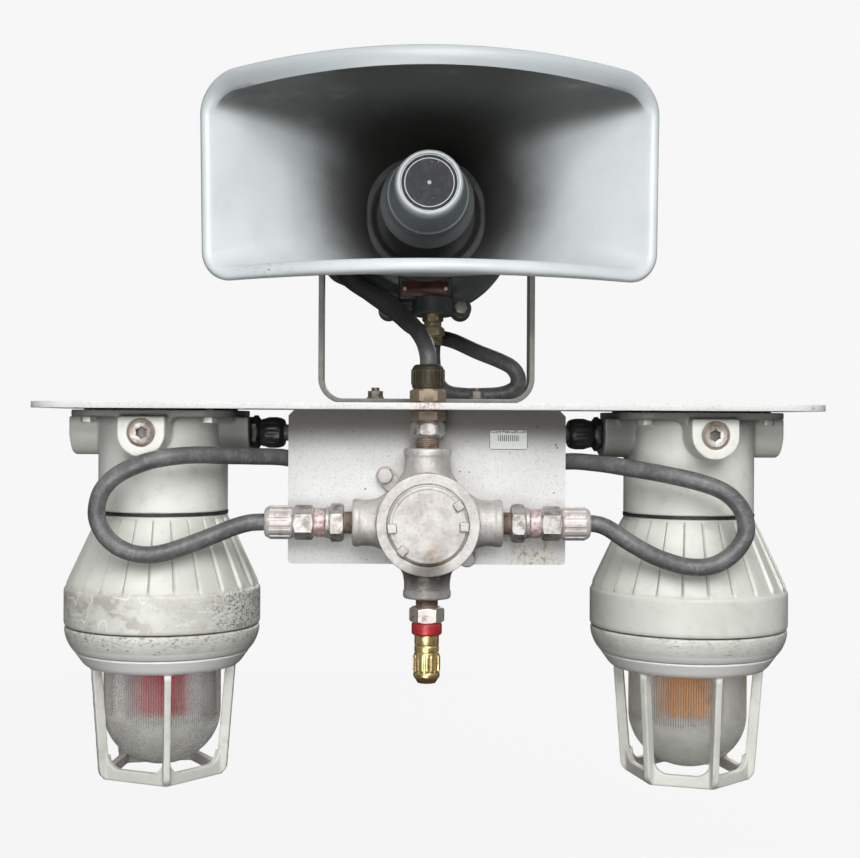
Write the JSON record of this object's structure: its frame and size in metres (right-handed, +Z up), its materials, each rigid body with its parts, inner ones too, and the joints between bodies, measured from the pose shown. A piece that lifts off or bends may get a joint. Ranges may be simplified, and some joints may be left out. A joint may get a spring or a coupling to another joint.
{
  "type": "horn strobe",
  "caption": "Alarm station: a re-entrant horn on a tilting yoke above a shelf, guarded strobes below it, and a conduit box with cables between them.",
  "frame": {"origin": "centre of the shelf's four mounting holes, on the shelf's top face", "axes": "+X to the right seen from the front, +Y from the front to the back, +Z up"},
  "size_m": [0.738, 0.3291, 0.6734],
  "materials": {
    "shelf_paint": "white paint, speckled with dirt, satin",
    "strobe_paint": "warm pale grey epoxy paint on cast aluminium, scuffed",
    "horn_paint": "pale blue-grey gloss paint",
    "driver_paint": "dark grey-green paint on a casting",
    "cast_metal": "bare cast aluminium, dirty",
    "zinc_steel": "zinc plated steel, dull",
    "rusty_steel": "plated steel with brown rust",
    "ring_red": "red anodised rings, worn",
    "brass": "brass, lightly tarnished",
    "bronze": "dark tarnished brass",
    "yoke_paint": "grey paint on steel strap",
    "cable_rubber": "charcoal rubber, scuffed",
    "seal_rubber": "black rubber",
    "black_nylon": "black plastic",
    "clear_glass": "clear ribbed glass with a stippled dome",
    "red_lens": "red plastic",
    "amber_lens": "amber plastic",
    "tube_glass": "clear glass",
    "ceramic": "white ceramic",
    "board_green": "green board with moulded parts",
    "nameplate_brown": "red-brown anodised plate",
    "magnet_steel": "plain steel",
    "film": "phenolic film"
  },
  "bodies": {
    "station": {"shelf_plate": "shelf_paint", "back_plate": "shelf_paint", "left_hood": "strobe_paint", "right_hood": "strobe_paint", "hood_screws": "zinc_steel", "hood_plugs": "zinc_steel", "hood_glands": "black_nylon", "hood_gaskets": "seal_rubber", "box_body": "cast_metal", "box_bolts": "zinc_steel", "terminal_block": "ceramic", "conduit_nipples": "rusty_steel", "side_unions": "zinc_steel", "left_gland_body": "zinc_steel", "right_gland_body": "zinc_steel", "side_gland_caps": "zinc_steel", "gland_rings": "ring_red", "top_reducer": "zinc_steel", "top_locknut": "rusty_steel", "top_gland_body": "bronze", "top_gland_cap": "bronze", "bottom_union": "rusty_steel", "bottom_gland_body": "brass", "bottom_gland_cap": "brass", "gland_seals": "seal_rubber", "left_cable": "cable_rubber", "right_cable": "cable_rubber", "horn_cable": "cable_rubber", "yoke": "yoke_paint", "yoke_bolts": "zinc_steel", "left_housing": "strobe_paint", "left_board": "board_green", "left_flash_tube": "tube_glass", "left_tube_base": "ceramic", "left_color_lens": "red_lens", "right_housing": "strobe_paint", "right_board": "board_green", "right_flash_tube": "tube_glass", "right_tube_base": "ceramic", "right_color_lens": "amber_lens"},
    "horn": {"horn_bell": "horn_paint", "horn_base": "driver_paint", "horn_bullet": "horn_paint", "driver_body": "driver_paint", "driver_cover": "driver_paint", "driver_nameplate": "nameplate_brown", "driver_bolts": "rusty_steel", "driver_fitting": "brass", "driver_magnet": "magnet_steel", "driver_diaphragm": "film"},
    "cover_carrier": {"cover_o_ring": "seal_rubber"},
    "cover": {"box_cover": "cast_metal"},
    "left_ring_carrier": {"left_globe_gasket": "seal_rubber"},
    "left_ring": {"left_lens_ring": "strobe_paint", "left_guard": "strobe_paint", "left_globe": "clear_glass"},
    "right_ring_carrier": {"right_globe_gasket": "seal_rubber"},
    "right_ring": {"right_lens_ring": "strobe_paint", "right_guard": "strobe_paint", "right_globe": "clear_glass"}
  },
  "joints": [
    {"name": "horn_tilt", "type": "hinge", "parent": "station", "child": "horn", "pos_m": [0, 0.015, 0.1965], "axis": [-1, 0, 0], "range_deg": [-18, 15], "deforming": ["horn_cable"]},
    {"name": "cover_travel", "type": "slide", "parent": "station", "child": "cover_carrier", "axis": [0, -1, 0], "range_m": [0, 0.0125]},
    {"name": "cover_turn", "type": "hinge", "parent": "cover_carrier", "child": "cover", "pos_m": [0, 0, -0.112], "axis": [0, -1, 0], "range_deg": [0, 2160]},
    {"name": "left_ring_drop", "type": "slide", "parent": "station", "child": "left_ring_carrier", "axis": [0, 0, -1], "range_m": [0, 0.0215]},
    {"name": "left_ring_turn", "type": "hinge", "parent": "left_ring_carrier", "child": "left_ring", "pos_m": [-0.257, 0, -0.226], "axis": [0, 0, -1], "range_deg": [0, 2520]},
    {"name": "right_ring_drop", "type": "slide", "parent": "station", "child": "right_ring_carrier", "axis": [0, 0, -1], "range_m": [0, 0.0215]},
    {"name": "right_ring_turn", "type": "hinge", "parent": "right_ring_carrier", "child": "right_ring", "pos_m": [0.257, 0, -0.226], "axis": [0, 0, -1], "range_deg": [0, 2520]}
  ],
  "couplings": [
    {"joint": "cover_travel", "follows": "cover_turn", "m_per_rad": 0.00031831},
    {"joint": "left_ring_drop", "follows": "left_ring_turn", "m_per_rad": 0.00047746},
    {"joint": "right_ring_drop", "follows": "right_ring_turn", "m_per_rad": 0.00047746}
  ]
}
